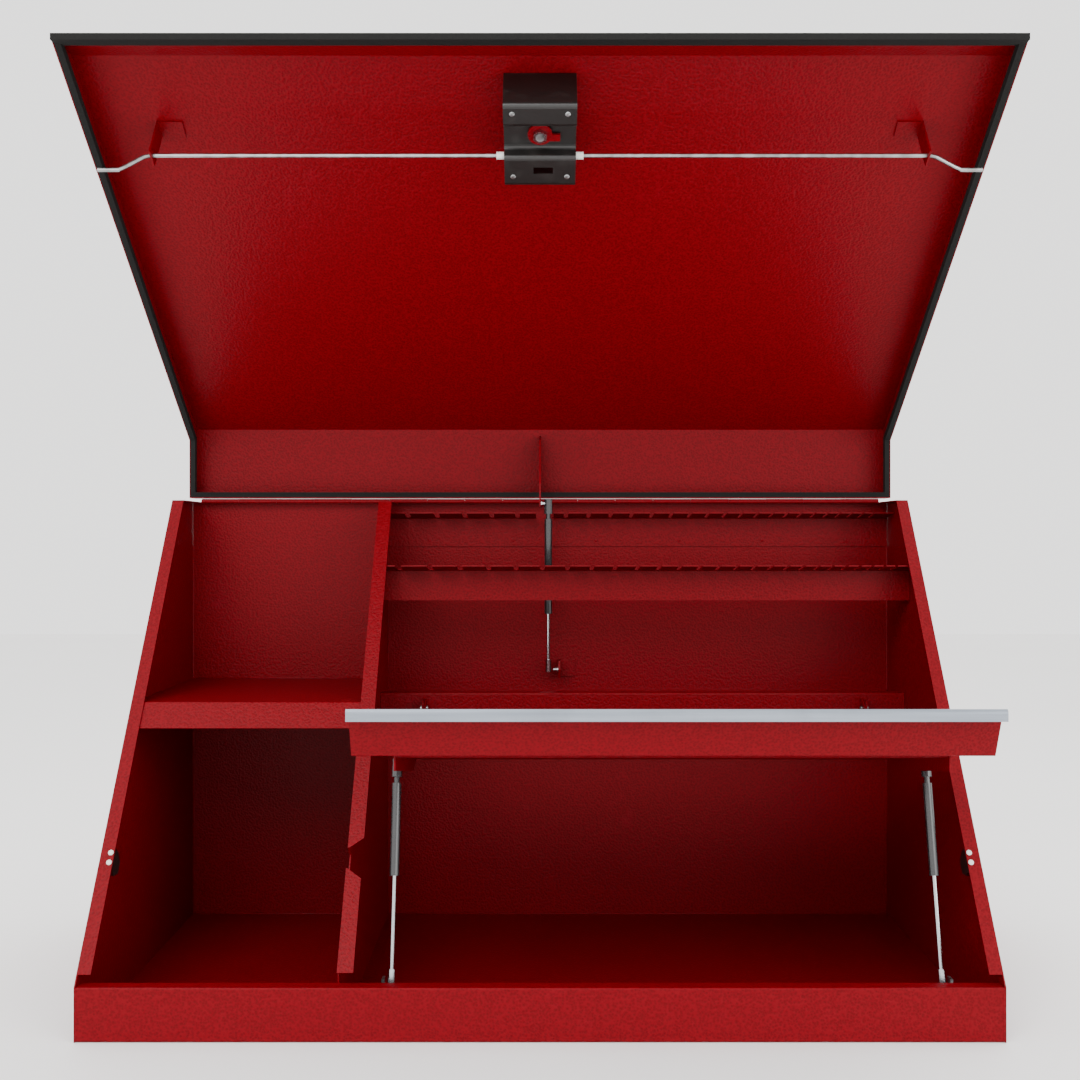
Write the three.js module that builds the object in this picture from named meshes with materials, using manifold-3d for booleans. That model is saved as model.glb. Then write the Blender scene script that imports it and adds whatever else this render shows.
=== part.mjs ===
// A carpenter's tool chest of bent sheet steel with a slanted front. The lid stands open on a long
// rear hinge, and a lift-up tray is raised on two gas struts. Millimetres, +Z up, the front faces -Y,
// and the origin is the middle of the base.
import * as THREE from 'three';
import { mergeVertices } from 'three/addons/utils/BufferGeometryUtils.js';
import Module from 'manifold-3d';

const wasm = await Module();
wasm.setup();

// Driving sizes of the chest
const chest = { width: 1041, depth: 497, height: 617, lip: 61, flatTop: 106 };
const sheet = { wall: 1.5, bend: 2.5, gap: 0.3, rimFlange: 16, lipFlange: 17, backFlange: 11 };
const divider = { x: -227, flange: 17, notch: 25, notchDeep: 22, notchFlare: 12.5 };
const shelf = { z: 354, flange: 37, slotLong: 14, slotWide: 4 };
const rail = { face: 43, reach: 43.5, riseDeg: 9, slots: 26, firstSlot: -195, pitch: 43, slotWide: 8, low: 4 };
const railPlace = { upperZ: 594, lowerZ: 519, lowerForward: 121 };
const railShares = { shrink: 0.9595, slotDeep: 0.72, slotShrink: 0.97 };

// Driving sizes of the lid, its hinge and its latch
const hinge = { inset: 15.5, pinRadius: 1.5, knuckleRadius: 3, leaf: 1.1, knuckles: 18, endMargin: 18 };
const lidSize = { deep: 38, wall: 1.2, rearStep: 5, frontLift: 9, seat: 0.6 };
const seal = { wide: 7, deep: 9 };
const rib = { thick: 2.4, reach: 44, drop: 8, foot: 24, clear: 6 };
const latch = { u: 528, wide: 82, low: 492, high: 604, band: 22, recess: 6, crest: 30, camU: 556 };
const cam = { radius: 14, thick: 3, spindle: 5, nut: 8.5, nutTall: 5, tab: 9 };
const rod = { radius: 2.4, n: 12, endDrop: 25, inner: 26, end: 503, bendRun: 26, bendAt: 452, travel: 10 };
const guide = { wall: 2, wide: 22, tall: 26, base: 30, x: 446 };
const handle = { long: 96, wide: 18, tall: 12, plate: 110, plateWide: 44, plateTall: 3, lift: 4 };

// Driving sizes of the gas struts
const strut = { radius: 5.6, rodRadius: 2.4, endLong: 15, endRadius: 6.2, studRadius: 3.2, studLong: 7 };
const lidStrut = { x: 12.2, up: 36, drop: 4, footInset: 32, footZ: 370, tubeShare: 0.66 };
const trayStrut = { top: 120, topZ: 290, foot: 55, footZ: 48, tubeShare: 0.52, aside: 12 };

// Driving sizes of the tray
const tray = { midX: 146.75, trim: 711, plates: 614, front: -40, topZ: 366, long: 360, fallDeg: 10 };
const pan = { deep: 40, plate: 2, plateDeep: 55, faceDrop: 43, faceBack: 20, faceWide: 709 };
const trim = { reach: 15, tall: 13, wall: 2.2, band: 6 };
const trayHinge = { back: 385, z: 323, pin: 4, eye: 12, run: 0.25, barDeep: 24, barTall: 40, barGap: 16 };
const catchSize = { wide: 12, tall: 29, deep: 20, rivet: 3.25, rivetTall: 1.8, rivetGap: 12 };

// Everything below is worked out from the sizes above
const half = chest.width / 2;
const front = -chest.depth / 2;
const back = chest.depth / 2;
const rimBack = back - chest.flatTop;
const slope = Math.atan2(chest.height - chest.lip, rimBack - front);
const slopeLong = Math.hypot(chest.height - chest.lip, rimBack - front);
const innerX = half - sheet.wall - sheet.gap;
const innerBack = back - sheet.wall - sheet.gap;
const floorTop = sheet.wall + sheet.gap;
const hingeY = back - hinge.inset;
const hingeZ = chest.height + sheet.gap + hinge.leaf / 2;
const overrun = 5;
const rimPoint = (u, n = 0) => [
  rimBack - u * Math.cos(slope) - n * Math.sin(slope),
  chest.height - u * Math.sin(slope) + n * Math.cos(slope),
];

// Materials
const paint = (color, roughness, metalness) => new THREE.MeshStandardMaterial({ color, roughness, metalness });
const redCoat = paint(0xa51c2b, 0.55, 0.1);
const blackCoat = paint(0x16130f, 0.5, 0.1);
const blackRubber = paint(0x2a2826, 0.8, 0);
const zinc = paint(0xb9bbb8, 0.35, 0.9);
const brightSteel = paint(0xd5d7da, 0.22, 1);
const aluminium = paint(0xb6bcc6, 0.35, 0.9);
const whiteNylon = paint(0xe6e4de, 0.5, 0);

// Turns a closed three.js geometry into a solid that can be joined and cut
function solid(geometry) {
  const bare = geometry.index ? geometry.clone() : geometry;
  bare.deleteAttribute('normal');
  bare.deleteAttribute('uv');
  const merged = mergeVertices(bare);
  return new wasm.Manifold(new wasm.Mesh({
    numProp: 3,
    vertProperties: new Float32Array(merged.attributes.position.array),
    triVerts: new Uint32Array(merged.index.array),
  }));
}

// Turns a solid back into a geometry
function geometryOf(body) {
  const mesh = body.getMesh();
  const geometry = new THREE.BufferGeometry();
  geometry.setAttribute('position', new THREE.BufferAttribute(mesh.vertProperties, 3));
  geometry.setIndex(new THREE.BufferAttribute(mesh.triVerts, 1));
  geometry.computeVertexNormals();
  return geometry;
}

const join = (...bodies) => bodies.reduce((all, body) => all.add(body));
const cut = (body, ...tools) => tools.reduce((left, tool) => left.subtract(tool), body);

// A solid whose outline lies in the Y-Z plane and runs from one X to another
function prism(points, fromX, toX, holes = []) {
  const shape = new THREE.Shape(points.map(([y, z]) => new THREE.Vector2(y, z)));
  shape.holes = holes.map((hole) => new THREE.Path(hole.map(([y, z]) => new THREE.Vector2(y, z))));
  const geometry = new THREE.ExtrudeGeometry(shape, { depth: toX - fromX, bevelEnabled: false });
  const turn = new THREE.Matrix4().makeBasis(
    new THREE.Vector3(0, 1, 0), new THREE.Vector3(0, 0, 1), new THREE.Vector3(1, 0, 0));
  return solid(geometry.applyMatrix4(turn.setPosition(fromX, 0, 0)));
}

// A solid whose outline lies in the X-Y plane and runs from one Z to another
function plate(points, fromZ, toZ) {
  const shape = new THREE.Shape(points.map(([x, y]) => new THREE.Vector2(x, y)));
  const geometry = new THREE.ExtrudeGeometry(shape, { depth: toZ - fromZ, bevelEnabled: false });
  return solid(geometry.translate(0, 0, fromZ));
}

// A box between two corners
function block([ax, ay, az], [bx, by, bz]) {
  const geometry = new THREE.BoxGeometry(bx - ax, by - ay, bz - az);
  return solid(geometry.translate((ax + bx) / 2, (ay + by) / 2, (az + bz) / 2));
}

// A round bar between two points
function bar(from, to, radius, sides = 16) {
  const a = new THREE.Vector3(...from);
  const run = new THREE.Vector3(...to).sub(a);
  const geometry = new THREE.CylinderGeometry(radius, radius, run.length(), sides);
  const turn = new THREE.Quaternion().setFromUnitVectors(new THREE.Vector3(0, 1, 0), run.clone().normalize());
  geometry.applyQuaternion(turn);
  return solid(geometry.translate(a.x + run.x / 2, a.y + run.y / 2, a.z + run.z / 2));
}

// A turned part whose profile of [radius, height] pairs stands on a point and points along a direction
function turned(profile, from, direction, sides = 20) {
  const geometry = new THREE.LatheGeometry(profile.map(([r, h]) => new THREE.Vector2(r, h)), sides);
  const turn = new THREE.Quaternion()
    .setFromUnitVectors(new THREE.Vector3(0, 1, 0), new THREE.Vector3(...direction).normalize());
  return solid(geometry.applyQuaternion(turn).translate(...from));
}

// Rounds the inner corners of a bent sheet's path
function bent(path, radius = sheet.bend, steps = 4) {
  const out = [path[0]];
  for (let i = 1; i < path.length - 1; i += 1) {
    const corner = new THREE.Vector2(...path[i]);
    const toA = new THREE.Vector2(...path[i - 1]).sub(corner).normalize();
    const toB = new THREE.Vector2(...path[i + 1]).sub(corner).normalize();
    const halfAngle = Math.acos(THREE.MathUtils.clamp(toA.dot(toB), -1, 1)) / 2;
    const reach = radius / Math.tan(halfAngle);
    const a = corner.clone().addScaledVector(toA, reach);
    const b = corner.clone().addScaledVector(toB, reach);
    const bend = new THREE.QuadraticBezierCurve(a, corner, b);
    bend.getPoints(steps).forEach((p) => out.push([p.x, p.y]));
  }
  out.push(path[path.length - 1]);
  return out;
}

// The outline of a sheet that follows a path and has its thickness on the path's left
function strip(path, thick) {
  const side = path.map((point, i) => {
    const before = new THREE.Vector2(...path[Math.max(i - 1, 0)]);
    const after = new THREE.Vector2(...path[Math.min(i + 1, path.length - 1)]);
    const here = new THREE.Vector2(...point);
    const d1 = (i > 0 ? here.clone().sub(before) : after.clone().sub(here)).normalize();
    const d2 = (i < path.length - 1 ? after.clone().sub(here) : here.clone().sub(before)).normalize();
    const normal = new THREE.Vector2(-d1.y - d2.y, d1.x + d2.x).normalize();
    const spread = normal.dot(new THREE.Vector2(-d1.y, d1.x));
    return [here.x + normal.x * thick / spread, here.y + normal.y * thick / spread];
  });
  return [...path, ...side.reverse()];
}

// A circle's points, for a hole or a round end
function ring(y, z, radius, sides = 20) {
  return Array.from({ length: sides }, (_, i) => {
    const turn = (i / sides) * 2 * Math.PI;
    return [y + radius * Math.cos(turn), z + radius * Math.sin(turn)];
  });
}

const toolChest = new THREE.Group();
function add(group, name, body, material) {
  const mesh = new THREE.Mesh(geometryOf(body), material);
  mesh.name = name;
  group.add(mesh);
  return mesh;
}

// The floor turns up at the front into the lip, and in again into the lip's top flange
function floorPan() {
  const path = bent([
    [innerBack, 0], [front, 0], [front, chest.lip], [front + sheet.lipFlange, chest.lip],
  ]);
  return prism(strip(path, -sheet.wall), -innerX, innerX);
}

// The back wall, with a narrow flange turned in at its top
function backPanel() {
  const path = bent([[back, 0], [back, chest.height], [back - sheet.backFlange, chest.height]]);
  return prism(strip(path, sheet.wall), -innerX, innerX);
}

// A side wall: a flat sheet, and a rim flange turned in along its top and its slope
function sidePanel(side) {
  const rimTop = [[back, chest.height], [rimBack, chest.height], [front, chest.lip]];
  const outline = [[front, 0], [back, 0], ...rimTop];
  const flangePath = [
    [innerBack - sheet.backFlange, chest.height], [rimBack, chest.height],
    rimPoint(slopeLong - sheet.lipFlange / Math.cos(slope) / 2),
  ];
  const wallX = [side * half, side * (half - sheet.wall)].sort((a, b) => a - b);
  const flangeX = [side * half, side * (half - sheet.rimFlange)].sort((a, b) => a - b);
  return join(
    prism(outline, ...wallX),
    prism(strip(flangePath, sheet.wall), ...flangeX),
  );
}

// The divider, with its slope flange notched where a latch rod passes when the lid is shut
function dividerPanel() {
  const rearZ = chest.height - sheet.wall - sheet.gap;
  const start = rimPoint(0, -sheet.gap);
  const lipY = front + sheet.lipFlange + sheet.gap * 2;
  const lipU = (rimBack - lipY) / Math.cos(slope);
  const rearY = hingeY - hinge.knuckleRadius - sheet.gap * 2;
  const outline = [
    [lipY, floorTop], [innerBack, floorTop], [innerBack, rearZ - sheet.backFlange],
    [rearY, rearZ], [start[0], rearZ], rimPoint(lipU, -sheet.gap),
  ];
  const sealClear = (seal.wide + lidSize.wall + sheet.wall) / Math.cos(slope);
  const flange = strip([
    [rearY, rearZ], [start[0], rearZ], rimPoint(slopeLong - sealClear, -sheet.gap)], sheet.wall);
  const wallX = divider.x - sheet.wall;
  const body = join(
    prism(outline, wallX, divider.x),
    prism(flange, wallX, divider.x + divider.flange));
  const wide = divider.notch / 2;
  const notch = plate([
    [wallX - overrun, -latch.u - wide], [divider.x, -latch.u - wide],
    [divider.x + divider.flange, -latch.u - wide - divider.notchFlare],
    [divider.x + divider.flange + overrun, -latch.u - wide - divider.notchFlare],
    [divider.x + divider.flange + overrun, -latch.u + wide + divider.notchFlare],
    [divider.x + divider.flange, -latch.u + wide + divider.notchFlare],
    [divider.x, -latch.u + wide], [wallX - overrun, -latch.u + wide],
  ], -divider.notchDeep, overrun);
  const place = new THREE.Matrix4().makeRotationX(slope).setPosition(0, rimBack, chest.height);
  return cut(body, notch.transform(place.elements));
}

// The shelf in the left bay, with a front flange that lies in the slope and slots by the divider
function leftShelf() {
  const under = sheet.wall + sheet.gap * 2;
  const edge = rimPoint((chest.height - shelf.z) / Math.sin(slope), -under);
  const corner = [edge[0] + under / Math.sin(slope) / 2, shelf.z];
  const end = [corner[0] - shelf.flange * Math.cos(slope), shelf.z - shelf.flange * Math.sin(slope)];
  const path = bent([[innerBack, shelf.z], corner, end]);
  const toX = divider.x - sheet.wall - sheet.gap;
  const body = prism(strip(path, sheet.wall), -innerX, toX);
  const slots = [1, 2].map((row) => block(
    [toX - shelf.slotLong * 2, corner[0] + shelf.slotLong * row, shelf.z - overrun],
    [toX - shelf.slotLong, corner[0] + shelf.slotLong * row + shelf.slotWide, shelf.z + overrun]));
  return cut(body, ...slots);
}

// Where the slots of a wrench rail lie: each step is a fixed share of the one before it
function slotPlaces() {
  const places = [];
  let x = rail.firstSlot;
  let step = rail.pitch;
  for (let i = 0; i < rail.slots; i += 1) {
    places.push({ x, wide: rail.slotWide * railShares.slotShrink ** i });
    x += step;
    step *= railShares.shrink;
  }
  return places;
}

// A wrench rail: a face down, a flange that rises to the front, and slots open at its front edge
function wrenchRail(faceY, topZ, clearStrut) {
  const rise = THREE.MathUtils.degToRad(rail.riseDeg);
  const corner = [faceY, topZ];
  const tip = [faceY - rail.reach * Math.cos(rise), topZ + rail.reach * Math.sin(rise)];
  const path = bent([[faceY, topZ - rail.face], corner, tip]);
  const from = divider.x + sheet.gap;
  let body = prism(strip(path, sheet.wall), from, innerX - sheet.gap);
  const strutX = lidStrut.x + strut.endRadius + sheet.wall;
  const blocked = (x) => clearStrut && x > -rib.clear * 2 && x < strutX + rib.clear;
  const slotEnd = tip[0] + rail.reach * railShares.slotDeep;
  for (const { x, wide } of slotPlaces()) {
    if (!blocked(x)) {
      const round = ring(x, slotEnd, wide / 2, 12).filter(([, y]) => y >= slotEnd - sheet.gap / 10);
      const outline = [...round, [x - wide / 2, tip[0] - overrun], [x + wide / 2, tip[0] - overrun]];
      body = cut(body, plate(outline, topZ - overrun, tip[1] + overrun));
    }
  }
  if (clearStrut) {
    const notch = block(
      [-rib.clear, tip[0] - overrun, topZ - rail.low],
      [strutX, faceY - sheet.wall - sheet.gap, tip[1] + overrun]);
    body = cut(body, notch);
  }
  return body;
}

add(toolChest, 'floor_pan', floorPan(), redCoat);
add(toolChest, 'back_panel', backPanel(), redCoat);
add(toolChest, 'left_side_panel', sidePanel(-1), redCoat);
add(toolChest, 'right_side_panel', sidePanel(1), redCoat);
add(toolChest, 'divider_panel', dividerPanel(), redCoat);
add(toolChest, 'left_shelf', leftShelf(), redCoat);
add(toolChest, 'wrench_rail_upper', wrenchRail(innerBack, railPlace.upperZ, true), redCoat);
add(toolChest, 'wrench_rail_lower', wrenchRail(back - railPlace.lowerForward, railPlace.lowerZ, false), redCoat);

// The catches on the side walls, under which the latch rods lock, and their rivets through the rim
const catchU = latch.u;
const catchTopN = -sheet.wall - sheet.gap;
function rimFrame() {
  return new THREE.Matrix4().makeRotationX(slope).setPosition(0, rimBack, chest.height);
}
function catchBlock(side) {
  const outer = innerX - sheet.gap;
  const lowN = -(rod.n + rod.endDrop) + rod.radius * 2;
  const x = [side * outer, side * (outer - catchSize.wide)].sort((a, b) => a - b);
  const long = catchSize.tall / 2;
  const shape = prism([
    [-catchU - long, catchTopN], [-catchU - long, lowN + catchSize.wide], [-catchU - long / 2, lowN],
    [-catchU + long / 2, lowN], [-catchU + long, lowN + catchSize.wide], [-catchU + long, catchTopN],
  ].reverse(), ...x);
  return shape.transform(rimFrame().elements);
}
function catchRivet(side, row) {
  const rivetX = half - lidSize.wall - seal.wide - catchSize.rivet - sheet.gap * 2;
  const head = turned([
    [0, 0], [catchSize.rivet, 0], [catchSize.rivet, catchSize.rivetTall / 2],
    [catchSize.rivet * 0.6, catchSize.rivetTall], [0, catchSize.rivetTall]],
  [side * rivetX, -catchU + row * catchSize.rivetGap / 2, sheet.gap], [0, 0, 1], 14);
  return head.transform(rimFrame().elements);
}
add(toolChest, 'catch_left', catchBlock(-1), blackCoat);
add(toolChest, 'catch_right', catchBlock(1), blackCoat);
for (const [name, side] of [['left', -1], ['right', 1]]) {
  add(toolChest, `catch_rivet_${name}_upper`, catchRivet(side, 1), whiteNylon);
  add(toolChest, `catch_rivet_${name}_lower`, catchRivet(side, -1), whiteNylon);
}

// The long rear hinge: knuckles of the two leaves alternate on one pin
const leafSpan = chest.width - 2 * hinge.endMargin;
function knuckles(first) {
  const step = leafSpan / hinge.knuckles;
  const rings = [];
  for (let i = first; i < hinge.knuckles; i += 2) {
    const fromX = -leafSpan / 2 + i * step + sheet.gap;
    rings.push(prism(ring(0, 0, hinge.knuckleRadius), fromX, fromX + step - 2 * sheet.gap));
  }
  return rings;
}
const pinHole = () => prism(
  ring(0, 0, hinge.pinRadius + sheet.gap), -leafSpan / 2 - overrun, leafSpan / 2 + overrun);
// A leaf reaches its own knuckles by tabs, and keeps clear of the other leaf's knuckles
function hingeLeaf(first, fromY, toY, fromZ, toZ) {
  const step = leafSpan / hinge.knuckles;
  const clearY = hinge.knuckleRadius + sheet.gap * 2;
  const parts = [block([-leafSpan / 2, clearY, fromZ], [leafSpan / 2, toY, toZ])];
  for (let i = first; i < hinge.knuckles; i += 2) {
    const fromX = -leafSpan / 2 + i * step + sheet.gap;
    parts.push(block([fromX, fromY, fromZ], [fromX + step - 2 * sheet.gap, clearY + overrun, toZ]));
  }
  return cut(join(...parts, ...knuckles(first)), pinHole());
}
const hingePlace = new THREE.Group();
hingePlace.position.set(0, hingeY, hingeZ);
toolChest.add(hingePlace);
const fixedLeaf = hingeLeaf(0, 0, hinge.inset - sheet.gap, -hinge.leaf / 2, hinge.leaf / 2);
add(hingePlace, 'hinge_leaf_fixed', fixedLeaf, zinc);
const pin = bar([-leafSpan / 2, 0, 0], [leafSpan / 2, 0, 0], hinge.pinRadius, 12);
add(hingePlace, 'hinge_pin', pin, brightSteel);

// The lid is drawn shut, about its hinge, and its group is turned a quarter turn to stand open
const lid = new THREE.Group();
lid.position.set(0, hingeY, hingeZ);
lid.rotation.x = -Math.PI / 2;
toolChest.add(lid);
const seatZ = chest.height + lidSize.seat - hingeZ;
const lidRear = -lidSize.rearStep;
const lidBend = rimBack - hingeY;
const lidFront = front - hingeY;
const lidFoot = chest.lip + lidSize.frontLift - hingeZ;
const inSlope = (u, n) => {
  const [y, z] = rimPoint(u, n);
  return [y - hingeY, z - hingeZ + lidSize.seat];
};
const skinU = (y, n) => (lidBend - y - n * Math.sin(slope)) / Math.cos(slope);
const skinTopU = -lidSize.deep * (1 - Math.cos(slope)) / Math.sin(slope);
const footU = (seatZ - lidFoot) / Math.sin(slope);

function lidShell() {
  const corner = inSlope(skinU(lidFront, lidSize.deep), lidSize.deep);
  const topBend = inSlope(skinTopU, lidSize.deep);
  const skin = bent([
    [lidFront, lidFoot], corner, topBend, [lidRear, seatZ + lidSize.deep], [lidRear, seatZ],
  ]);
  const wallX = half - lidSize.wall;
  const edge = [[lidRear, seatZ], [lidBend, seatZ], inSlope(footU, 0), [lidFront, lidFoot]];
  const inner = strip(skin, -lidSize.wall).slice(skin.length).reverse();
  const body = cut(
    prism([...skin, ...edge.slice(1, -1)], -half, half),
    prism([
      [inner[0][0], lidFoot - overrun * 2], ...inner.slice(1, -1),
      [lidRear - lidSize.wall, seatZ - overrun], [lidBend, seatZ - overrun], inSlope(footU, -overrun),
    ], -wallX, wallX));
  const hole = bar([0, 0, lidSize.deep / 2], [0, 0, lidSize.deep + overrun], cam.spindle + sheet.gap);
  return cut(body, hole.transform(slopeFrame().setY(-latch.camU).elements));
}

// The slope's own frame in the lid: its Y runs up the slope and its Z points out of the lid
function slopeFrame() {
  const turn = new THREE.Matrix4().makeRotationX(slope);
  const base = new THREE.Matrix4().setPosition(0, lidBend, seatZ).multiply(turn);
  base.setY = (y) => base.clone().multiply(new THREE.Matrix4().makeTranslation(0, y, 0));
  return base;
}

// The rubber seal runs round the inside of the lid's edge, level with the edge
function lidSeal() {
  const gap = sheet.gap;
  const inner = half - lidSize.wall - gap;
  const rear = lidRear - lidSize.wall - gap;
  const path = [[lidFront + lidSize.wall + gap, lidFoot], inSlope(footU, 0), [lidBend, seatZ], [rear, seatZ]];
  const side = strip(path, seal.deep);
  const frontBar = [
    [lidFront + lidSize.wall + gap, lidFoot - lidSize.frontLift + sheet.gap * 3],
    [lidFront + lidSize.wall + gap + seal.wide, lidFoot - lidSize.frontLift + sheet.gap * 3],
    [lidFront + lidSize.wall + gap + seal.wide, lidFoot + seal.deep],
    [lidFront + lidSize.wall + gap, lidFoot + seal.deep],
  ];
  const rearBar = [
    [rear - seal.wide, seatZ], [rear, seatZ], [rear, seatZ + seal.deep], [rear - seal.wide, seatZ + seal.deep],
  ];
  return join(
    prism(side, -inner, -inner + seal.wide), prism(side, inner - seal.wide, inner),
    prism(frontBar, -inner, inner), prism(rearBar, -inner, inner));
}

// The rib under the lid's flat top, which carries the gas strut's upper stud
function lidRib() {
  const skin = seatZ + lidSize.deep - lidSize.wall - sheet.gap;
  const rear = lidRear - lidSize.wall - sheet.gap;
  const outline = [
    [lidBend - lidSize.deep / 4, skin], [rear, skin], [rear, seatZ + seal.deep + sheet.gap],
    [rear - seal.wide - sheet.gap, seatZ + seal.deep + sheet.gap],
    [rear - seal.wide - sheet.gap, -rib.foot], [rib.drop, -rib.foot], [rib.drop, -rib.reach],
    [-rib.foot, -rib.reach], [lidBend, -rib.drop],
  ];
  return prism(outline, -rib.thick / 2, rib.thick / 2);
}
const studY = lidStrut.drop;
const studZ = -lidStrut.up;

// A short stud along X that a strut's end turns on
function stud(x, y, z, toward, long = strut.studLong) {
  const profile = [
    [0, 0], [strut.studRadius * 1.7, 0], [strut.studRadius * 1.7, strut.studLong / 4],
    [strut.studRadius, strut.studLong / 4], [strut.studRadius, long], [0, long]];
  return turned(profile, [x, y, z], [toward, 0, 0], 16);
}

add(lid, 'lid_shell', lidShell(), redCoat);
add(lid, 'lid_seal', lidSeal(), blackRubber);
add(lid, 'lid_rib', lidRib(), redCoat);
const lidStudX = rib.thick / 2 + sheet.gap;
const lidStudLong = lidStrut.x + strut.endRadius / 2 - lidStudX;
add(lid, 'lid_strut_stud', stud(lidStudX, studY, studZ, 1, lidStudLong), brightSteel);
const leafLow = hinge.knuckleRadius - hinge.leaf / 3;
const moving = hingeLeaf(1, 0, lidSize.deep / 2, leafLow, leafLow + hinge.leaf);
const stand = new THREE.Matrix4().makeRotationX(Math.PI / 2).setPosition(0, 0, 0);
add(lid, 'hinge_leaf_moving', moving.transform(stand.elements), zinc);

// The latch: pieces drawn in the slope's frame, where up the slope is +Y
const slopeGroup = new THREE.Group();
slopeGroup.position.set(0, lidBend, seatZ);
slopeGroup.rotation.x = slope;
lid.add(slopeGroup);
const skinN = lidSize.deep - lidSize.wall - sheet.gap;

// The latch cover, bent from one sheet, with two raised bands and a sunk middle
function latchCover() {
  const band = latch.crest;
  const path = bent([
    [-latch.high, skinN - sheet.wall], [-latch.high, -latch.band], [-latch.high + band, -latch.band],
    [-latch.high + band, -latch.recess], [-latch.low - band * 1.4, -latch.recess],
    [-latch.low - band * 1.4, -latch.band], [-latch.low, -latch.band], [-latch.low, skinN - sheet.wall],
  ], sheet.bend * 2, 4);
  const body = prism(strip(path, sheet.wall), -latch.wide / 2, latch.wide / 2);
  const hole = bar(
    [0, -latch.camU, -latch.band], [0, -latch.camU, skinN], cam.spindle + sheet.gap);
  const slot = block(
    [-latch.crest * 0.25, -latch.low - band * 0.9, -latch.band - overrun],
    [latch.crest * 0.5, -latch.low - band * 0.6, -latch.band + overrun]);
  return cut(body, hole, slot);
}

// A sleeve where a rod leaves the cover
function rodSleeve(side) {
  const from = latch.wide / 2 + sheet.gap;
  const outer = rod.radius * 1.8;
  const body = bar([side * from, -latch.u, -rod.n], [side * (from + outer * 2), -latch.u, -rod.n], outer);
  const bore = bar([side * (from - overrun), -latch.u, -rod.n],
    [side * (from + outer * 2 + overrun), -latch.u, -rod.n], rod.radius + sheet.gap);
  return cut(body, bore);
}

// An angle bracket on the skin that guides a rod near the lid's side
function rodGuide(side) {
  const face = side * guide.x;
  const foot = side * (guide.x - guide.base);
  const x = [face, face - side * guide.wall].sort((a, b) => a - b);
  const footX = [face, foot].sort((a, b) => a - b);
  const wide = guide.wide / 2;
  const tip = -rod.n - rod.radius - guide.wall * 2;
  const tab = block([x[0], -latch.u - wide, tip], [x[1], -latch.u + wide, skinN]);
  const base = block([footX[0], -latch.u - wide, skinN - guide.wall], [footX[1], -latch.u + wide, skinN]);
  const bore = bar([face - side * overrun * 2, -latch.u, -rod.n],
    [face + side * overrun * 2, -latch.u, -rod.n], rod.radius + sheet.gap * 2);
  return cut(join(tab, base), bore);
}

// A latch rod: straight, then an S-bend towards the chest, then a short straight end
function latchRod(side) {
  const points = [
    [rod.inner, rod.n], [rod.bendAt, rod.n], [rod.bendAt + rod.bendRun, rod.n + rod.endDrop],
    [rod.end, rod.n + rod.endDrop],
  ];
  const smooth = bent(points, rod.radius * 2, 4);
  const curve = new THREE.CurvePath();
  for (let i = 0; i < smooth.length - 1; i += 1) {
    curve.add(new THREE.LineCurve3(
      new THREE.Vector3(side * smooth[i][0], -latch.u, -smooth[i][1]),
      new THREE.Vector3(side * smooth[i + 1][0], -latch.u, -smooth[i + 1][1])));
  }
  const section = new THREE.Shape(ring(0, 0, rod.radius, 10).map(([a, b]) => new THREE.Vector2(a, b)));
  return solid(new THREE.ExtrudeGeometry(section, { steps: 60, bevelEnabled: false, extrudePath: curve }));
}

// The cam on its spindle, with its nut, in the cover's sunk middle, and the handle outside
function latchSpindle() {
  const from = [0, -latch.camU, -latch.recess - cam.thick * 2 - cam.nutTall];
  const toOut = [0, -latch.camU, lidSize.deep + handle.plateTall + handle.lift];
  return bar(from, toOut, cam.spindle);
}
function latchCam() {
  const low = -latch.recess - cam.thick - sheet.gap * 2 - sheet.wall;
  const disc = bar([0, -latch.camU, low], [0, -latch.camU, low + cam.thick], cam.radius, 24);
  const arm = block([0, -latch.camU, low], [cam.radius + cam.tab, -latch.camU + cam.tab, low + cam.thick]);
  const bore = bar([0, -latch.camU, low - overrun], [0, -latch.camU, low + overrun * 2], cam.spindle + sheet.gap);
  return cut(join(disc, arm), bore);
}
function latchNut() {
  const top = -latch.recess - cam.thick - sheet.gap * 3 - sheet.wall;
  const hex = bar([0, -latch.camU, top - cam.nutTall], [0, -latch.camU, top], cam.nut, 6);
  const bore = bar([0, -latch.camU, top - cam.nutTall - overrun], [0, -latch.camU, top + overrun],
    cam.spindle + sheet.gap);
  return cut(hex, bore);
}
function latchEscutcheon() {
  const base = lidSize.deep + sheet.gap;
  const body = block([-handle.plateWide / 2, -latch.camU - handle.plateWide / 2, base],
    [handle.plateWide / 2, -latch.camU + handle.plateWide / 2, base + handle.plateTall]);
  const bore = bar([0, -latch.camU, 0], [0, -latch.camU, base + handle.plateTall + overrun],
    cam.spindle + sheet.gap);
  return cut(body, bore);
}
function latchHandle() {
  const base = lidSize.deep + handle.plateTall + handle.lift + sheet.gap * 2;
  const outline = ring(handle.long / 2 - handle.wide / 2, -latch.camU, handle.wide / 2)
    .filter(([x]) => x >= handle.long / 2 - handle.wide / 2)
    .sort((a, b) => a[1] - b[1]);
  const mirror = outline.map(([x, y]) => [-x, y]).reverse();
  return plate([...outline, ...mirror], base, base + handle.tall);
}
add(slopeGroup, 'latch_cover', latchCover(), blackCoat);
add(slopeGroup, 'rod_sleeve_left', rodSleeve(-1), whiteNylon);
add(slopeGroup, 'rod_sleeve_right', rodSleeve(1), whiteNylon);
add(slopeGroup, 'rod_guide_left', rodGuide(-1), redCoat);
add(slopeGroup, 'rod_guide_right', rodGuide(1), redCoat);
add(slopeGroup, 'latch_rod_left', latchRod(-1), zinc);
add(slopeGroup, 'latch_rod_right', latchRod(1), zinc);
add(slopeGroup, 'latch_spindle', latchSpindle(), zinc);
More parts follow.
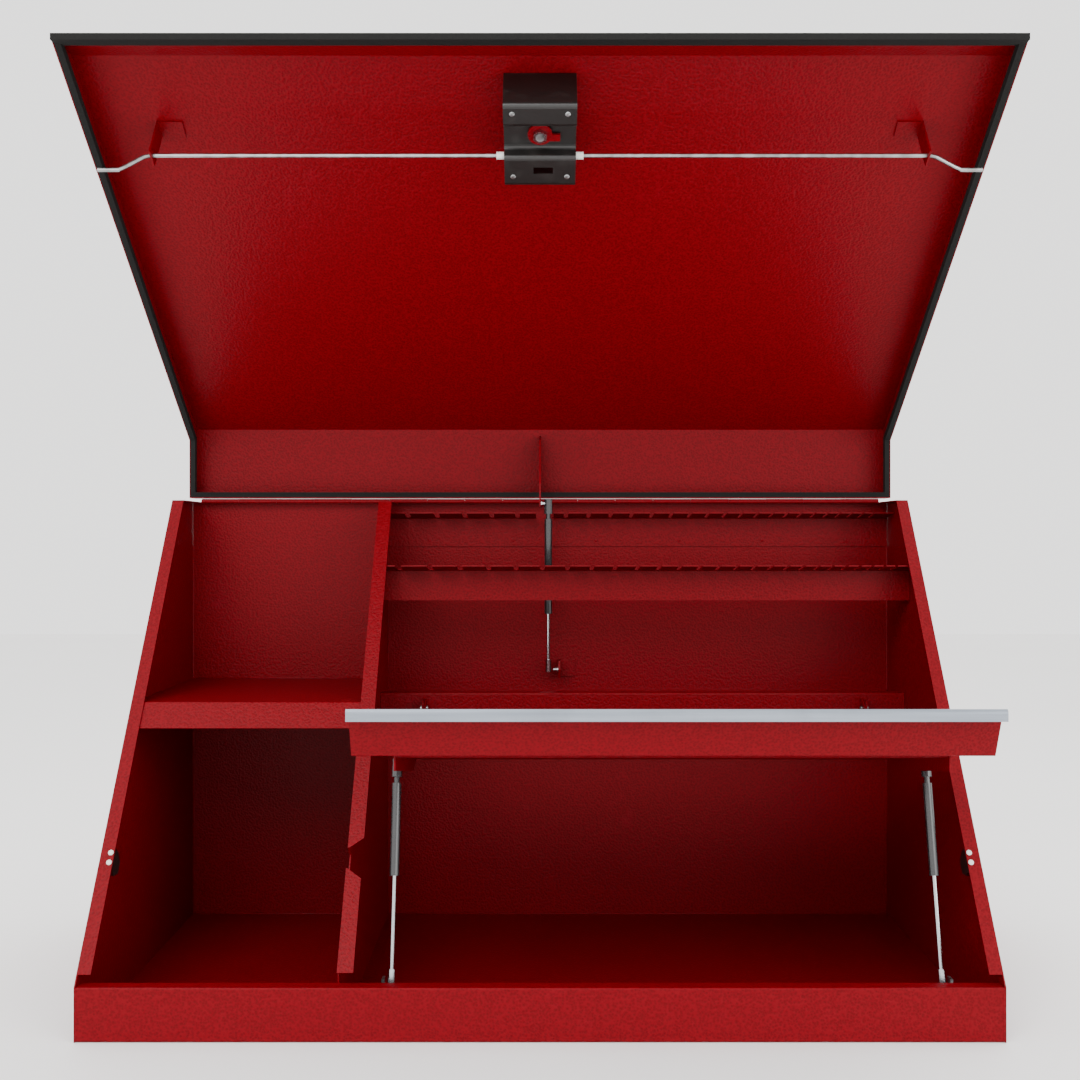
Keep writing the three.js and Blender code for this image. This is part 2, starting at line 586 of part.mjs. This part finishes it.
add(slopeGroup, 'latch_cam', latchCam(), redCoat);
add(slopeGroup, 'latch_nut', latchNut(), brightSteel);
add(slopeGroup, 'latch_escutcheon', latchEscutcheon(), blackCoat);
add(slopeGroup, 'latch_handle', latchHandle(), blackCoat);

// A gas strut's tube with its end fitting, drawn from its upper pivot to its lower one
function strutTube(x, top, foot, share) {
  const run = new THREE.Vector3(0, foot[0] - top[0], foot[1] - top[1]);
  const long = run.length();
  run.normalize();
  const at = (s) => [x, top[0] + run.y * s, top[1] + run.z * s];
  const body = join(
    bar(at(-strut.endRadius), at(strut.endLong), strut.endRadius, 14),
    bar(at(strut.endLong / 2), at(strut.endLong * 1.6), strut.radius * 0.6, 12),
    bar(at(strut.endLong * 1.5), at(long * share), strut.radius, 20));
  const hole = bar([x - overrun * 2, ...top], [x + overrun * 2, ...top], strut.studRadius + sheet.gap);
  const boreIn = bar(at(strut.endLong * 1.8), at(long * share + overrun), strut.rodRadius + sheet.gap, 14);
  return cut(body, hole, boreIn);
}

// A gas strut's rod, from inside its tube to the fitting at its lower pivot
function strutRod(x, top, foot, share, hidden) {
  const run = new THREE.Vector3(0, foot[0] - top[0], foot[1] - top[1]);
  const long = run.length();
  run.normalize();
  const at = (s) => [x, top[0] + run.y * s, top[1] + run.z * s];
  return join(
    bar(at(long * share - hidden), at(long - strut.endLong / 2), strut.rodRadius, 12),
    bar(at(long - strut.endLong), at(long + strut.endRadius / 2), strut.endRadius * 0.7, 14));
}

// The lid's strut hangs from the rib, and its rod's end meets a stud on the back wall from one side
const lidTop = [hingeY + studZ, hingeZ - studY];
const lidFootPoint = [back - lidStrut.footInset, lidStrut.footZ];
add(toolChest, 'lid_strut_tube', strutTube(lidStrut.x, lidTop, lidFootPoint, lidStrut.tubeShare), blackCoat);
const lidHidden = strut.endLong * 2;
const lidRod = strutRod(lidStrut.x, lidTop, lidFootPoint, lidStrut.tubeShare, lidHidden);
add(toolChest, 'lid_strut_rod', lidRod, brightSteel);
function wallBracket() {
  const x = lidStrut.x + strut.endRadius + strut.studLong + sheet.wall;
  const top = lidStrut.footZ + strut.endRadius * 2;
  const low = lidStrut.footZ - strut.endRadius * 2;
  const reach = lidFootPoint[0] - strut.endRadius;
  return join(
    prism([[innerBack, low], [innerBack, top], [reach + strut.endRadius, top], [reach, lidStrut.footZ],
      [reach + strut.endRadius, low]], x, x + sheet.wall * 2),
    block([x, innerBack - sheet.wall * 2, low], [x + strut.endRadius * 4, innerBack, top]));
}
add(toolChest, 'strut_wall_bracket', wallBracket(), redCoat);
const wallStudX = lidStrut.x + strut.endRadius + strut.studLong + sheet.wall - sheet.gap;
add(toolChest, 'strut_wall_stud', stud(wallStudX, ...lidFootPoint, -1), brightSteel);

// The tray falls towards the back, so its pieces are placed along its own top line
const fall = THREE.MathUtils.degToRad(tray.fallDeg);
const along = (s, down = 0) => [
  front + tray.front + s * Math.cos(fall) - down * Math.sin(fall),
  tray.topZ - s * Math.sin(fall) - down * Math.cos(fall),
];
const plateX = tray.plates / 2;
const axisY = front + trayHinge.back;
const trayTop = [front + trayStrut.top, trayStrut.topZ];
const trayFoot = [front + trayStrut.foot, trayStrut.footZ];

// The tray's floor, with walls turned up at its back
function trayPan() {
  const x = plateX - sheet.gap;
  const path = bent([
    along(pan.faceBack * 2, pan.deep), along(tray.long, pan.deep), along(tray.long, 0),
    along(tray.long - sheet.rimFlange, 0)]);
  return prism(strip(path, sheet.wall), tray.midX - x, tray.midX + x);
}
// The painted face below the trim
function trayFace() {
  const path = bent([
    along(pan.faceBack * 1.4, 0), along(0, 0),
    [front + tray.front + pan.faceBack, tray.topZ - pan.faceDrop],
    [front + tray.front + pan.faceBack * 1.5, tray.topZ - pan.faceDrop]]);
  const wide = pan.faceWide / 2;
  return prism(strip(path, sheet.wall), tray.midX - wide, tray.midX + wide);
}
// A side plate that runs back into an arm with an eye round the hinge pin
function trayPlate(side) {
  const inner = tray.midX + side * plateX;
  const outer = inner + side * pan.plate;
  const x = [inner, outer].sort((a, b) => a - b);
  const eye = ring(axisY, trayHinge.z, trayHinge.eye, 24).filter(([y]) => y >= axisY);
  eye.sort((a, b) => a[1] - b[1]);
  const start = pan.faceBack * 2;
  const outline = [
    along(start, pan.plateDeep), along(tray.long * 0.7, pan.plateDeep), ...eye,
    along(tray.long, sheet.gap + sheet.wall * 2), along(start * 0.8, sheet.gap + sheet.wall * 2),
  ];
  const hole = ring(axisY, trayHinge.z, trayHinge.pin + trayHinge.run, 20);
  return prism(outline, ...x, [hole]);
}
// The aluminium pull trim, a bent strip whose lower edge makes a finger lip
function trayTrim() {
  const [y, z] = along(0, 0);
  const lift = sheet.wall / 2 + sheet.gap;
  const path = bent([
    [y + trim.reach, z + lift + sheet.gap], [y - trim.wall * 2, z + lift + trim.tall * 0.2],
    [y - trim.reach, z + trim.tall], [y - trim.reach, z]], trim.wall);
  const wide = tray.trim / 2;
  return prism(strip(path, -trim.wall), tray.midX - wide, tray.midX + wide);
}
add(toolChest, 'tray_pan', trayPan(), redCoat);
add(toolChest, 'tray_face', trayFace(), redCoat);
add(toolChest, 'tray_plate_left', trayPlate(-1), redCoat);
add(toolChest, 'tray_plate_right', trayPlate(1), redCoat);
add(toolChest, 'tray_trim', trayTrim(), aluminium);

// The bar that crosses the right bay and carries the tray's two hinge pins on ears
function trayHingeBar() {
  const fromX = divider.x + sheet.gap;
  const toX = innerX - sheet.gap;
  const y = axisY + trayHinge.barGap;
  const top = trayHinge.z + trayHinge.barTall / 2;
  const low = trayHinge.z - trayHinge.barTall / 2;
  const path = bent([[y + trayHinge.barDeep, low], [y, low], [y, top], [y + trayHinge.barDeep, top]]);
  const channel = prism(strip(path, -sheet.wall), fromX, toX);
  const ears = [-1, 1].map((side) => {
    const at = tray.midX + side * (plateX + pan.plate + sheet.gap * 2);
    const x = [at, at + side * sheet.wall * 2].sort((a, b) => a - b);
    const eye = trayHinge.eye;
    return prism([[axisY - eye, trayHinge.z - eye], [y + sheet.wall, trayHinge.z - eye],
      [y + sheet.wall, trayHinge.z + eye], [axisY - eye, trayHinge.z + eye]], ...x,
    [ring(axisY, trayHinge.z, trayHinge.pin + trayHinge.run, 20)]);
  });
  return join(channel, ...ears);
}
add(toolChest, 'tray_hinge_bar', trayHingeBar(), redCoat);
for (const [name, side] of [['left', -1], ['right', 1]]) {
  const inner = tray.midX + side * (plateX - pan.plate);
  const outer = tray.midX + side * (plateX + pan.plate * 2 + sheet.wall * 3);
  const pinBody = bar([inner, axisY, trayHinge.z], [outer, axisY, trayHinge.z], trayHinge.pin, 20);
  add(toolChest, `tray_hinge_pin_${name}`, pinBody, zinc);

  // The tray's strut on this side, its stud on the side plate, and its foot on the floor
  const x = tray.midX + side * (plateX + trayStrut.aside);
  const plateFace = tray.midX + side * (plateX + pan.plate + sheet.gap);
  const reach = Math.abs(x - plateFace) + strut.endRadius / 2;
  add(toolChest, `tray_strut_stud_${name}`, stud(plateFace, ...trayTop, side, reach), brightSteel);
  const tube = strutTube(x, trayTop, trayFoot, trayStrut.tubeShare);
  add(toolChest, `tray_strut_tube_${name}`, tube, blackCoat);
  const rodBody = strutRod(x, trayTop, trayFoot, trayStrut.tubeShare, strut.endLong);
  add(toolChest, `tray_strut_rod_${name}`, rodBody, brightSteel);
  const footX = x + side * (strut.endRadius + sheet.wall);
  const fx = [footX, footX + side * sheet.wall * 2].sort((a, b) => a - b);
  const base = [footX, footX + side * strut.endLong].sort((a, b) => a - b);
  const [fy, fz] = trayFoot;
  const foot = join(
    prism([[fy - strut.endRadius * 2, floorTop], [fy + strut.endRadius * 2, floorTop],
      [fy + strut.endRadius, fz + strut.endRadius], [fy - strut.endRadius, fz + strut.endRadius]], ...fx),
    block([base[0], fy - strut.endRadius * 2, floorTop],
      [base[1], fy + strut.endRadius * 2, floorTop + sheet.wall * 2]));
  add(toolChest, `strut_foot_${name}`, foot, zinc);
}

export default toolChest;
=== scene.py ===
import math
import bpy
import bmesh
from mathutils import Matrix, Vector


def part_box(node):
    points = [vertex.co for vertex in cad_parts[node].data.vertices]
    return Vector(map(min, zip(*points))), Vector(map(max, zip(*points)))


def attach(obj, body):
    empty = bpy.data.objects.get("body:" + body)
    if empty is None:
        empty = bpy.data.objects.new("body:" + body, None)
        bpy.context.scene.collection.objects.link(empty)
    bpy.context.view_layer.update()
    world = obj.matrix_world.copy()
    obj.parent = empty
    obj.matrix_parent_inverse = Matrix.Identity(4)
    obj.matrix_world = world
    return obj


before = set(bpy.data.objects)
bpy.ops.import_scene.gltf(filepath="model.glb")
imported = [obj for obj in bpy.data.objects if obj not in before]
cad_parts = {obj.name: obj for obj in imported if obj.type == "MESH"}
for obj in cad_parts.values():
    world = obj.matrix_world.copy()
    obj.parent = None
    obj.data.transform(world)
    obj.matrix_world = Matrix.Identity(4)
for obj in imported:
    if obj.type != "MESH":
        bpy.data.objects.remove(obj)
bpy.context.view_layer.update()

# The camera stands in front of the chest, level, at the height where the photograph's lines meet.
# The lens is taken as 45 degrees, and the distance is the one that fits the front lip with it.
PHOTO_SIDE = 1080
FOCAL_PIXELS = 1303.7
HORIZON_PIXEL = 539
CAMERA_AWAY = 1.4546
CAMERA_UP = 0.562
chest_low, chest_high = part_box("left_side_panel")
camera_data = bpy.data.cameras.new("photo_camera")
camera_data.sensor_width = 36
camera_data.lens = camera_data.sensor_width * FOCAL_PIXELS / PHOTO_SIDE
camera_data.shift_y = (HORIZON_PIXEL - PHOTO_SIDE / 2) / PHOTO_SIDE
camera_data.clip_start = 0.05
camera = bpy.data.objects.new("photo_camera", camera_data)
camera.location = (0, chest_low.y - CAMERA_AWAY, CAMERA_UP)
camera.rotation_euler = (math.radians(90), 0, 0)
bpy.context.scene.collection.objects.link(camera)
bpy.context.scene.camera = camera


# Materials are written as expressions on the values that sockets carry.
# This wrapper holds one socket, and each operator adds the Math node that it stands for.
class Value:
    def __init__(self, made, socket):
        self.made = made
        self.socket = socket

    def math(self, operation, other, swapped=False):
        pair = [other, self] if swapped else [self, other]
        return self.made.node("ShaderNodeMath", {"operation": operation}, dict(enumerate(pair)))

    def __add__(self, other):
        return self.math("ADD", other)

    def __radd__(self, other):
        return self.math("ADD", other, True)

    def __mul__(self, other):
        return self.math("MULTIPLY", other)

    def __rmul__(self, other):
        return self.math("MULTIPLY", other, True)


class Finish:
    def __init__(self, name, constants):
        self.material = bpy.data.materials.new(name)
        self.material.use_nodes = True
        self.tree = self.material.node_tree
        self.shader = self.tree.nodes["Principled BSDF"]
        for socket, value in constants.items():
            self.shader.inputs[socket].default_value = value
        coordinates = self.tree.nodes.new("ShaderNodeTexCoord")
        self.place = Value(self, coordinates.outputs["Object"])

    # Adds any node: its settings come first, then the values or links of its sockets
    def node(self, kind, settings=None, sockets=None):
        node = self.tree.nodes.new(kind)
        for key, value in (settings or {}).items():
            setattr(node, key, value)
        for key, value in (sockets or {}).items():
            if isinstance(value, Value):
                self.tree.links.new(value.socket, node.inputs[key])
            else:
                node.inputs[key].default_value = value
        return Value(self, node.outputs[0])

    def noise(self, scale, detail, stretch=(1, 1, 1)):
        place = self.node("ShaderNodeMapping", None, {"Vector": self.place, "Scale": stretch})
        return self.node("ShaderNodeTexNoise", None, {"Vector": place, "Scale": scale, "Detail": detail})

    def ramp(self, fac, low, high):
        return self.node("ShaderNodeMapRange", None, {"Value": fac, "From Min": low, "From Max": high})

    def mix(self, fac, a, b):
        node = self.tree.nodes.new("ShaderNodeMix")
        node.data_type = "RGBA"
        self.tree.links.new(fac.socket, node.inputs[0])
        for index, color in ((6, a), (7, b)):
            if isinstance(color, Value):
                self.tree.links.new(color.socket, node.inputs[index])
            else:
                node.inputs[index].default_value = (*color, 1)
        return Value(self, node.outputs[2])

    def feed(self, socket, value):
        self.tree.links.new(value.socket, self.shader.inputs[socket])

    def bump(self, height, distance, strength):
        bump = self.node("ShaderNodeBump", None, {
            "Height": height, "Distance": distance, "Strength": strength})
        self.feed("Normal", bump)


def coat(material, *names):
    for name in names:
        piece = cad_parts[name]
        piece.data.materials.clear()
        piece.data.materials.append(material)


# The chest, lid, tray and shelves are bent from steel sheet and sprayed with a red powder.
# The powder bakes to a fine wrinkle, so its skin is bumpy all over. Its colour follows the wrinkle, with
# painted shade in the hollows and painted light on the ridges.
RED_HOLLOW_SHADE = (0.085, 0.0002, 0.0018)
RED_RIDGE_LIGHT = (0.19, 0.0008, 0.0060)
RED_DUST = (0.24, 0.004, 0.014)
WRINKLE_ACROSS = 330
WRINKLE_HEIGHT = 0.0009
red = Finish("red_wrinkle_coat", {"Metallic": 0.0, "Specular IOR Level": 0.09, "Coat Weight": 0.0})
broad = red.noise(3.2, 3)
cells = red.node("ShaderNodeTexVoronoi", {"feature": "SMOOTH_F1"}, {
    "Vector": red.place, "Scale": WRINKLE_ACROSS, "Smoothness": 0.6})
fine = red.noise(WRINKLE_ACROSS * 1.7, 3)
skin = red.ramp(cells, 0.05, 0.75) * 0.6 + fine * 0.4
# Painted shade and light: the red is darker in the wrinkle's hollows and lighter on its ridges, following the
# bump height.
wrinkle_shade_and_light = red.ramp(skin, 0.25, 0.75) * 0.5 + 0.2
base = red.mix(wrinkle_shade_and_light, RED_HOLLOW_SHADE, RED_RIDGE_LIGHT)
worn = red.ramp(red.noise(38, 6), 0.62, 0.78) * red.ramp(broad, 0.45, 0.7) * 0.35
red.feed("Base Color", red.mix(worn, base, RED_DUST))
red.feed("Roughness", 0.3 + 0.14 * skin + 0.1 * broad)
red.bump(skin, WRINKLE_HEIGHT, 0.55)
coat(red.material, "floor_pan", "back_panel", "left_side_panel", "right_side_panel", "divider_panel",
     "left_shelf", "wrench_rail_upper", "wrench_rail_lower", "lid_shell", "lid_rib", "rod_guide_left",
     "rod_guide_right", "latch_cam", "tray_pan", "tray_face", "tray_plate_left", "tray_plate_right",
     "tray_hinge_bar", "strut_wall_bracket", "hinge_leaf_fixed", "hinge_leaf_moving", "hinge_pin")

# The latch cover, the handle and the catches are steel pressings with a satin black coat.
# The coat is smoother than the red, with a faint orange peel and rubbed corners.
BLACK_COAT = (0.006, 0.005, 0.0045)
BLACK_RUBBED = (0.020, 0.017, 0.015)
black = Finish("satin_black_coat", {"Metallic": 0.0, "Coat Weight": 0.15})
peel = black.noise(420, 3)
rub = black.ramp(black.noise(46, 5), 0.55, 0.8)
black.feed("Base Color", black.mix(rub * 0.5, BLACK_COAT, BLACK_RUBBED))
black.feed("Roughness", 0.34 + 0.18 * rub + 0.1 * peel)
black.bump(peel, 0.0003, 0.4)
coat(black.material, "latch_cover", "latch_escutcheon", "latch_handle", "catch_left", "catch_right")

# The gas struts have a drawn tube with a gloss black lacquer, and a ground, chromed rod.
# A faint streak runs along the lacquer from the drawing of the tube.
LACQUER_DEEP = (0.007, 0.007, 0.008)
LACQUER_LIGHT = (0.022, 0.022, 0.024)
gloss = Finish("strut_lacquer", {"Metallic": 0.0, "Coat Weight": 0.6, "Coat Roughness": 0.08})
drawn = gloss.noise(60, 4, (1, 1, 0.06))
gloss.feed("Base Color", gloss.mix(drawn, LACQUER_DEEP, LACQUER_LIGHT))
gloss.feed("Roughness", 0.2 + 0.14 * drawn)
coat(gloss.material, "lid_strut_tube", "tray_strut_tube_left", "tray_strut_tube_right")

CHROME_DEEP = (0.40, 0.41, 0.43)
CHROME_LIGHT = (0.60, 0.61, 0.63)
chrome = Finish("chromed_rod", {"Metallic": 1.0})
ground = chrome.noise(300, 3, (1, 1, 8))
chrome.feed("Base Color", chrome.mix(ground, CHROME_DEEP, CHROME_LIGHT))
chrome.feed("Roughness", 0.12 + 0.14 * ground)
coat(chrome.material, "lid_strut_rod", "tray_strut_rod_left", "tray_strut_rod_right", "lid_strut_stud",
     "strut_wall_stud", "tray_strut_stud_left", "tray_strut_stud_right", "latch_nut")

# The latch rods, the spindle and the strut feet are mild steel with a bright zinc plate.
# The plate has a faint mottle of grey and pale blue.
ZINC_DEEP = (0.22, 0.225, 0.22)
ZINC_LIGHT = (0.38, 0.39, 0.395)
zinc = Finish("zinc_plate", {"Metallic": 1.0})
mottle = zinc.ramp(zinc.noise(90, 5), 0.35, 0.65)
scuff = zinc.noise(500, 4, (0.08, 1, 1))
zinc.feed("Base Color", zinc.mix(mottle, ZINC_DEEP, ZINC_LIGHT))
zinc.feed("Roughness", 0.26 + 0.16 * mottle + 0.1 * scuff)
zinc.bump(scuff, 0.00008, 0.4)
coat(zinc.material, "latch_rod_left", "latch_rod_right", "latch_spindle", "strut_foot_left",
     "strut_foot_right", "tray_hinge_pin_left", "tray_hinge_pin_right")

# The tray's pull is a strip of extruded aluminium, brushed along its length.
# It is pale on top and greyer where fingers and grime reach its lower edge.
ALLOY_DEEP = (0.22, 0.245, 0.285)
ALLOY_LIGHT = (0.36, 0.40, 0.46)
ALLOY_STAIN = (0.16, 0.165, 0.18)
alloy = Finish("brushed_aluminium", {"Metallic": 1.0})
brush = alloy.noise(260, 5, (0.02, 1, 1))
stain = alloy.ramp(alloy.noise(14, 4), 0.5, 0.8)
bright = alloy.mix(brush, ALLOY_DEEP, ALLOY_LIGHT)
alloy.feed("Base Color", alloy.mix(stain * 0.4, bright, ALLOY_STAIN))
alloy.feed("Roughness", 0.24 + 0.2 * brush)
alloy.bump(brush, 0.00006, 0.5)
coat(alloy.material, "tray_trim")

# The lid's seal is a black foam rubber strip, cut square and glued round inside the edge.
# It is drawn with fine open cells, and painted shade darkens the sunk pits of the cells.
FOAM_PIT_SHADE = (0.0025, 0.0025, 0.0025)
FOAM_CELL_WALL = (0.012, 0.012, 0.0115)
foam = Finish("seal_rubber", {"Metallic": 0.0, "Specular IOR Level": 0.12})
pores = foam.node("ShaderNodeTexVoronoi", None, {"Vector": foam.place, "Scale": 900.0})
cell_pit_shade = foam.ramp(pores, 0.1, 0.5)
# Painted shade: the foam is darker in the pits of the cells, following the bump height.
foam.feed("Base Color", foam.mix(cell_pit_shade, FOAM_PIT_SHADE, FOAM_CELL_WALL))
foam.feed("Roughness", 0.72 + 0.2 * cell_pit_shade)
foam.bump(pores, 0.0004, 0.5)
coat(foam.material, "lid_seal")

# The rod sleeves and the catch rivets are turned from white nylon.
# Handling leaves them faintly yellow in places.
NYLON_FRESH = (0.74, 0.73, 0.70)
NYLON_AGED = (0.6, 0.56, 0.48)
nylon = Finish("white_nylon", {"Metallic": 0.0, "Subsurface Weight": 0.05})
age = nylon.ramp(nylon.noise(120, 4), 0.4, 0.8)
nylon.feed("Base Color", nylon.mix(age, NYLON_FRESH, NYLON_AGED))
nylon.feed("Roughness", 0.38 + 0.2 * age)
coat(nylon.material, "rod_sleeve_left", "rod_sleeve_right", "catch_rivet_left_upper",
     "catch_rivet_left_lower", "catch_rivet_right_upper", "catch_rivet_right_lower")


# Four small zinc-plated pan-head screws sit on the latch cover's bands.
# They are made up: the photograph shows a plain cover. Each is a disc with a rounded rim,
# and a small round recess made by insetting its top and pushing it in.
SCREW_RADIUS = 0.0034
SCREW_TALL = 0.0018
LIP_TALL = 0.061
FLAT_TOP = 0.106
COVER_SCREW_X = 0.031
COVER_SCREW_LOW = -0.592
COVER_SCREW_HIGH = -0.506
COVER_SCREW_OUT = -0.0222
HINGE_INSET = 0.0155
HINGE_RISE = 0.00085
LID_SEAT = 0.0006
chest_deep = chest_high.y - chest_low.y
slope_angle = math.atan2(chest_high.z - LIP_TALL, chest_deep - FLAT_TOP)


def finish_mesh(mesh_name, made, material, body):
    mesh = bpy.data.meshes.new(mesh_name)
    bmesh.ops.recalc_face_normals(made, faces=made.faces)
    made.to_mesh(mesh)
    made.free()
    for face in mesh.polygons:
        face.use_smooth = True
    piece = bpy.data.objects.new(mesh_name, mesh)
    bpy.context.scene.collection.objects.link(piece)
    mesh.materials.append(material)
    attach(piece, body)


def screw_head(name, at, facing, body):
    made = bmesh.new()
    bmesh.ops.create_cone(made, cap_ends=True, segments=24, radius1=SCREW_RADIUS,
                          radius2=SCREW_RADIUS * 0.86, depth=SCREW_TALL)
    top = max(made.faces, key=lambda face: face.calc_center_median().z)
    rim = list(top.edges)
    bmesh.ops.bevel(made, geom=rim, offset=SCREW_TALL * 0.35, segments=3, profile=0.5,
                    affect="EDGES", material=-1)
    top = max(made.faces, key=lambda face: face.calc_center_median().z)
    bmesh.ops.inset_region(made, faces=[top], thickness=SCREW_RADIUS * 0.42)
    top = min((f for f in made.faces if f.normal.z > 0.9), key=lambda face: face.calc_area())
    bmesh.ops.translate(made, verts=top.verts, vec=(0, 0, -SCREW_TALL * 0.4))
    turn = facing.to_track_quat("Z", "Y").to_matrix().to_4x4()
    bmesh.ops.transform(made, matrix=Matrix.Translation(at) @ turn, verts=made.verts)
    finish_mesh(name, made, zinc.material, body)


# The lid stands a quarter turn open, so a point of its slope is turned the same way
def on_slope(x, up, out):
    chest_top = chest_high.z
    rim_back = chest_high.y - FLAT_TOP
    hinge_y = chest_high.y - HINGE_INSET
    hinge_z = chest_top + HINGE_RISE
    y = rim_back + up * math.cos(slope_angle) - out * math.sin(slope_angle)
    z = chest_top + LID_SEAT + up * math.sin(slope_angle) + out * math.cos(slope_angle)
    return Vector((x, hinge_y + (z - hinge_z), hinge_z - (y - hinge_y)))


inward = (on_slope(0, 0, -1) - on_slope(0, 0, 0)).normalized()
cover_places = [(x, up) for up in (COVER_SCREW_LOW, COVER_SCREW_HIGH)
                for x in (-COVER_SCREW_X, COVER_SCREW_X)]
for index, (x, up) in enumerate(cover_places):
    screw_head(f"cover_screw_{index}", on_slope(x, up, COVER_SCREW_OUT), inward, "lid")

# Six spot-weld dimples stand on the upper rail, as shallow round caps of the same red steel.
# They are made up: the photograph shows a plain rail.
WELD_RADIUS = 0.0032
WELD_TALL = 0.0006
RAIL_WELDS = 6
RAIL_SHEET = 0.0015
RAIL_WELD_UP = 0.010


def weld_dimple(name, at, facing, body):
    made = bmesh.new()
    bmesh.ops.create_uvsphere(made, u_segments=20, v_segments=10, radius=WELD_RADIUS)
    bmesh.ops.scale(made, vec=(1, 1, WELD_TALL / WELD_RADIUS), verts=made.verts)
    turn = facing.to_track_quat("Z", "Y").to_matrix().to_4x4()
    bmesh.ops.transform(made, matrix=Matrix.Translation(at) @ turn, verts=made.verts)
    finish_mesh(name, made, red.material, body)


rail_low, rail_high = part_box("wrench_rail_upper")
face_y = rail_high.y - RAIL_SHEET
for index in range(RAIL_WELDS):
    x = rail_low.x + (index + 0.5) * (rail_high.x - rail_low.x) / RAIL_WELDS
    weld_dimple(f"rail_weld_{index}", Vector((x, face_y, rail_low.z + RAIL_WELD_UP)), Vector((0, -1, 0)),
                "chest_body")

# Thin painted weld beads run along the corners. They are a guess at the faint lines seen there,
# and the bead behind the shelf follows no line in the photograph.
# Each is a slim round bar with its ends drawn in. WALL is a 1.5 mm sheet and its 0.3 mm gap.
BEAD_RADIUS = 0.0014
WALL = 0.0018


def weld_bead(name, start, end, body):
    run = end - start
    made = bmesh.new()
    bmesh.ops.create_cone(made, cap_ends=True, segments=10, radius1=BEAD_RADIUS, radius2=BEAD_RADIUS,
                          depth=run.length)
    caps = [face for face in made.faces if abs(face.normal.z) > 0.9]
    bmesh.ops.inset_individual(made, faces=caps, thickness=BEAD_RADIUS * 0.4, depth=BEAD_RADIUS * 0.5)
    turn = run.to_track_quat("Z", "Y").to_matrix().to_4x4()
    bmesh.ops.transform(made, matrix=Matrix.Translation((start + end) / 2) @ turn, verts=made.verts)
    finish_mesh(name, made, red.material, body)


divider_low, divider_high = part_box("divider_panel")
shelf_low, shelf_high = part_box("left_shelf")
left_x = chest_low.x + WALL
right_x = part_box("right_side_panel")[1].x - WALL
corner_y = chest_high.y - WALL
floor_z = WALL
divider_face = divider_low.x + WALL
weld_bead("floor_weld_left", Vector((left_x, corner_y, floor_z)), Vector((divider_low.x, corner_y, floor_z)),
          "chest_body")
weld_bead("floor_weld_right", Vector((divider_face, corner_y, floor_z)), Vector((right_x, corner_y, floor_z)),
          "chest_body")
for name, x in (("left", left_x), ("right", right_x)):
    weld_bead(f"corner_weld_{name}", Vector((x, corner_y, floor_z)), Vector((x, corner_y, rail_low.z)),
              "chest_body")
weld_bead("shelf_weld", Vector((left_x, corner_y, shelf_high.z)),
          Vector((divider_low.x, corner_y, shelf_high.z)), "chest_body")

# The chest stands on a plain pale floor.
# Three soft area lights and a pale sky make the even studio light of the photograph.
FLOOR_HALF = 6.0
FLOOR_DROP = 0.0005
FLOOR_SHADE = (0.90, 0.89, 0.885)
FLOOR_PALE = (0.93, 0.925, 0.92)
SKY_COLOR = (0.97, 0.96, 0.95, 1)
SKY_STRENGTH = 2.1
LIGHTS_AIM = (0, 0, 0.5)
floor_mesh = bmesh.new()
bmesh.ops.create_grid(floor_mesh, x_segments=1, y_segments=1, size=FLOOR_HALF)
floor_data = bpy.data.meshes.new("studio_floor")
floor_mesh.to_mesh(floor_data)
floor_mesh.free()
floor = bpy.data.objects.new("studio_floor", floor_data)
bpy.context.scene.collection.objects.link(floor)
pale = Finish("pale_floor", {"Roughness": 0.75})
drift = pale.noise(1.4, 2)
pale.feed("Base Color", pale.mix(drift, FLOOR_SHADE, FLOOR_PALE))
floor_data.materials.append(pale.material)
floor.location.z = -FLOOR_DROP

world = bpy.data.worlds.new("studio_sky")
bpy.context.scene.world = world
world.use_nodes = True
sky = world.node_tree.nodes["Background"]
sky.inputs["Color"].default_value = SKY_COLOR
sky.inputs["Strength"].default_value = SKY_STRENGTH

LIGHTS = {
    "key_light": ((-0.9, -2.4, 2.3), 1.6, 60),
    "fill_light": ((1.8, -2.0, 1.2), 1.4, 20),
    "top_light": ((0.2, 0.3, 2.6), 1.8, 30),
}
for name, (place, size, power) in LIGHTS.items():
    data = bpy.data.lights.new(name, "AREA")
    data.size = size
    data.energy = power
    lamp = bpy.data.objects.new(name, data)
    lamp.location = place
    lamp.rotation_euler = (Vector(LIGHTS_AIM) - Vector(place)).to_track_quat("-Z", "Y").to_euler()
    bpy.context.scene.collection.objects.link(lamp)
